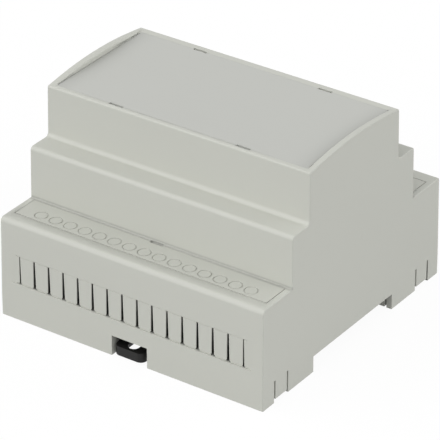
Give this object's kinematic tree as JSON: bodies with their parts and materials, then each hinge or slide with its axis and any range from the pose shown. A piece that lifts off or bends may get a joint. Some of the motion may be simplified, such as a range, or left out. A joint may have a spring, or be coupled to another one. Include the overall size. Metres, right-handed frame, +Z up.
{
  "type": "din rail enclosure",
  "caption": "Stepped snap-together plastic case for a 35 mm mounting rail, with break-out terminal flaps, terminal strips, a window panel and a sprung rail clip.",
  "frame": {"origin": "centre of the footprint, on the underside of the feet", "axes": "+X along the mounting rail, -Y towards the side with the rail clip, +Z up from the rail to the window panel"},
  "size_m": [0.0896, 0.09, 0.0653],
  "materials": {
    "case_plastic": "fine satin moulded texture, light warm grey",
    "panel_plastic": "smooth satin, light neutral grey",
    "clip_plastic": "smooth satin black"
  },
  "bodies": {
    "foot": {"base": "case_plastic"},
    "cover": {"cover": "case_plastic"},
    "panel": {"top_panel": "panel_plastic"},
    "front_strip": {"front_terminal_strip": "case_plastic"},
    "rear_strip": {"rear_terminal_strip": "case_plastic"},
    "clip": {"rail_clip": "clip_plastic"}
  },
  "joints": [
    {"name": "cover_lift", "type": "slide", "parent": "foot", "child": "cover", "axis": [0, 0, 1], "range_m": [0, 0.04]},
    {"name": "panel_lift", "type": "slide", "parent": "cover", "child": "panel", "axis": [0, 0, 1], "range_m": [0, 0.02]},
    {"name": "front_strip_lift", "type": "slide", "parent": "cover", "child": "front_strip", "axis": [0, 0, 1], "range_m": [0, 0.015]},
    {"name": "rear_strip_lift", "type": "slide", "parent": "cover", "child": "rear_strip", "axis": [0, 0, 1], "range_m": [0, 0.015]},
    {"name": "clip_slide", "type": "slide", "parent": "foot", "child": "clip", "axis": [0, -1, 0], "range_m": [0, 0.003], "stiffness_N_per_m": 1500, "springref_m": -0.002}
  ]
}
